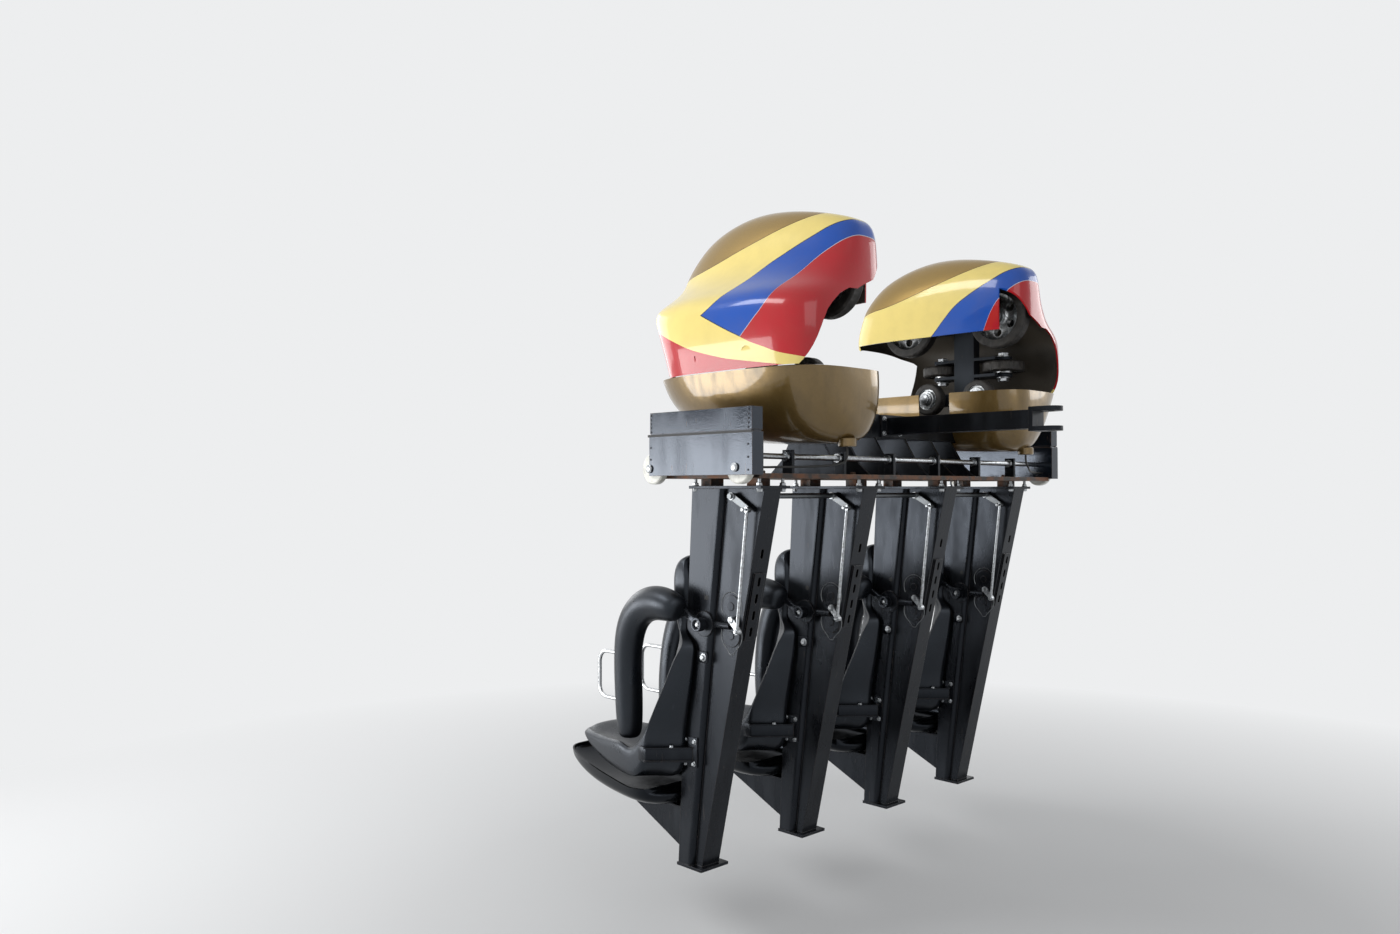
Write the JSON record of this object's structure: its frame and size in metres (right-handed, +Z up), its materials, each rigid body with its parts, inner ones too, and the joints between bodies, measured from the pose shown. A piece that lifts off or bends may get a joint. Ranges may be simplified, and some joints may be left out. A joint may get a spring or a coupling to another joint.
{
  "type": "inverted roller coaster car",
  "caption": "Hanging roller coaster car: wheeled chassis below its rails, moulded wheel covers, and seats with over-shoulder restraints on tapered steel hangers",
  "frame": {"origin": "midway between the centre lines of the two rails, level with them, at the middle of the car", "axes": "+X towards the car's left side, -Y in the direction of travel, +Z up"},
  "size_m": [2.4306, 1.948, 2.8293],
  "materials": {
    "black_steel": "semi-gloss black paint, scratched and worn at its edges",
    "worn_plate": "worn paint over brown rusty steel",
    "foam": "satin black integral-skin foam",
    "tray_shell": "glossy black moulded shell",
    "cover_shell": "glossy gold, yellow, blue and red on moulded fibreglass",
    "dome_shell": "glossy gold on moulded fibreglass",
    "guide_paint": "glossy black paint with bare worn edges",
    "nylon": "white nylon",
    "wheel_mix": "dark polyurethane tyre on an aluminium hub",
    "zinc_steel": "zinc-plated steel",
    "restraint_steel": "black arms, polished stainless hand grips",
    "carrier_steel": "dark grey paint on cast steel",
    "cable_rubber": "black rubber sheath"
  },
  "bodies": {
    "chassis": {"deck_plate": "worn_plate", "deck_frame": "black_steel", "cross_beam": "black_steel", "drawbar": "black_steel", "coupling_clevis": "black_steel", "release_shaft": "zinc_steel", "release_rods": "zinc_steel", "lock_shaft": "zinc_steel", "seat_brackets": "black_steel", "carrier_left": "carrier_steel", "carrier_right": "carrier_steel", "cover_left": "cover_shell", "cover_right": "cover_shell", "dome_left": "dome_shell", "dome_right": "dome_shell", "guide_box_left": "guide_paint", "guide_box_right": "guide_paint", "cable_left": "cable_rubber", "cable_right": "cable_rubber", "hanger_1": "black_steel", "hanger_2": "black_steel", "hanger_3": "black_steel", "hanger_4": "black_steel", "seat_1": "foam", "seat_2": "foam", "seat_3": "foam", "seat_4": "foam", "seat_tray_1": "tray_shell", "seat_tray_2": "tray_shell", "seat_tray_3": "tray_shell", "seat_tray_4": "tray_shell"},
    "harness_1": {"harness_pads_1": "foam", "harness_frame_1": "restraint_steel"},
    "harness_2": {"harness_pads_2": "foam", "harness_frame_2": "restraint_steel"},
    "harness_3": {"harness_pads_3": "foam", "harness_frame_3": "restraint_steel"},
    "harness_4": {"harness_pads_4": "foam", "harness_frame_4": "restraint_steel"},
    "running_wheel_fl": {"running_wheel_fl": "wheel_mix"},
    "running_wheel_fr": {"running_wheel_fr": "wheel_mix"},
    "running_wheel_rl": {"running_wheel_rl": "wheel_mix"},
    "running_wheel_rr": {"running_wheel_rr": "wheel_mix"},
    "side_wheel_fl": {"side_wheel_fl": "wheel_mix"},
    "side_wheel_fr": {"side_wheel_fr": "wheel_mix"},
    "side_wheel_rl": {"side_wheel_rl": "wheel_mix"},
    "side_wheel_rr": {"side_wheel_rr": "wheel_mix"},
    "upstop_wheel_fl": {"upstop_wheel_fl": "wheel_mix"},
    "upstop_wheel_fr": {"upstop_wheel_fr": "wheel_mix"},
    "upstop_wheel_rl": {"upstop_wheel_rl": "wheel_mix"},
    "upstop_wheel_rr": {"upstop_wheel_rr": "wheel_mix"},
    "guide_roller_fl": {"guide_roller_fl": "nylon"},
    "guide_roller_fr": {"guide_roller_fr": "nylon"},
    "guide_roller_rl": {"guide_roller_rl": "nylon"},
    "guide_roller_rr": {"guide_roller_rr": "nylon"}
  },
  "joints": [
    {"name": "harness_hinge_1", "type": "hinge", "parent": "chassis", "child": "harness_1", "pos_m": [0.975, -0.115, -1.21], "axis": [-1, 0, 0], "range_deg": [0, 78]},
    {"name": "harness_hinge_2", "type": "hinge", "parent": "chassis", "child": "harness_2", "pos_m": [0.325, -0.115, -1.21], "axis": [-1, 0, 0], "range_deg": [0, 78]},
    {"name": "harness_hinge_3", "type": "hinge", "parent": "chassis", "child": "harness_3", "pos_m": [-0.325, -0.115, -1.21], "axis": [-1, 0, 0], "range_deg": [0, 78]},
    {"name": "harness_hinge_4", "type": "hinge", "parent": "chassis", "child": "harness_4", "pos_m": [-0.975, -0.115, -1.21], "axis": [-1, 0, 0], "range_deg": [0, 78]},
    {"name": "running_spin_fl", "type": "hinge", "parent": "chassis", "child": "running_wheel_fl", "pos_m": [0.68, -0.28, 0.235], "axis": [1, 0, 0], "continuous": true},
    {"name": "running_spin_fr", "type": "hinge", "parent": "chassis", "child": "running_wheel_fr", "pos_m": [-0.68, -0.28, 0.235], "axis": [1, 0, 0], "continuous": true},
    {"name": "running_spin_rl", "type": "hinge", "parent": "chassis", "child": "running_wheel_rl", "pos_m": [0.68, 0.26, 0.235], "axis": [1, 0, 0], "continuous": true},
    {"name": "running_spin_rr", "type": "hinge", "parent": "chassis", "child": "running_wheel_rr", "pos_m": [-0.68, 0.26, 0.235], "axis": [1, 0, 0], "continuous": true},
    {"name": "side_spin_fl", "type": "hinge", "parent": "chassis", "child": "side_wheel_fl", "pos_m": [0.863, -0.195, 0], "axis": [0, 0, 1], "continuous": true},
    {"name": "side_spin_fr", "type": "hinge", "parent": "chassis", "child": "side_wheel_fr", "pos_m": [-0.863, -0.195, 0], "axis": [0, 0, 1], "continuous": true},
    {"name": "side_spin_rl", "type": "hinge", "parent": "chassis", "child": "side_wheel_rl", "pos_m": [0.863, 0.175, 0], "axis": [0, 0, 1], "continuous": true},
    {"name": "side_spin_rr", "type": "hinge", "parent": "chassis", "child": "side_wheel_rr", "pos_m": [-0.863, 0.175, 0], "axis": [0, 0, 1], "continuous": true},
    {"name": "upstop_spin_fl", "type": "hinge", "parent": "chassis", "child": "upstop_wheel_fl", "pos_m": [0.68, -0.16, -0.163], "axis": [1, 0, 0], "continuous": true},
    {"name": "upstop_spin_fr", "type": "hinge", "parent": "chassis", "child": "upstop_wheel_fr", "pos_m": [-0.68, -0.16, -0.163], "axis": [1, 0, 0], "continuous": true},
    {"name": "upstop_spin_rl", "type": "hinge", "parent": "chassis", "child": "upstop_wheel_rl", "pos_m": [0.68, 0.14, -0.163], "axis": [1, 0, 0], "continuous": true},
    {"name": "upstop_spin_rr", "type": "hinge", "parent": "chassis", "child": "upstop_wheel_rr", "pos_m": [-0.68, 0.14, -0.163], "axis": [1, 0, 0], "continuous": true},
    {"name": "guide_spin_fl", "type": "hinge", "parent": "chassis", "child": "guide_roller_fl", "pos_m": [1.172, -0.296, -0.558], "axis": [1, 0, 0], "continuous": true},
    {"name": "guide_spin_fr", "type": "hinge", "parent": "chassis", "child": "guide_roller_fr", "pos_m": [-1.172, -0.296, -0.558], "axis": [1, 0, 0], "continuous": true},
    {"name": "guide_spin_rl", "type": "hinge", "parent": "chassis", "child": "guide_roller_rl", "pos_m": [1.172, 0.208, -0.558], "axis": [1, 0, 0], "continuous": true},
    {"name": "guide_spin_rr", "type": "hinge", "parent": "chassis", "child": "guide_roller_rr", "pos_m": [-1.172, 0.208, -0.558], "axis": [1, 0, 0], "continuous": true}
  ]
}
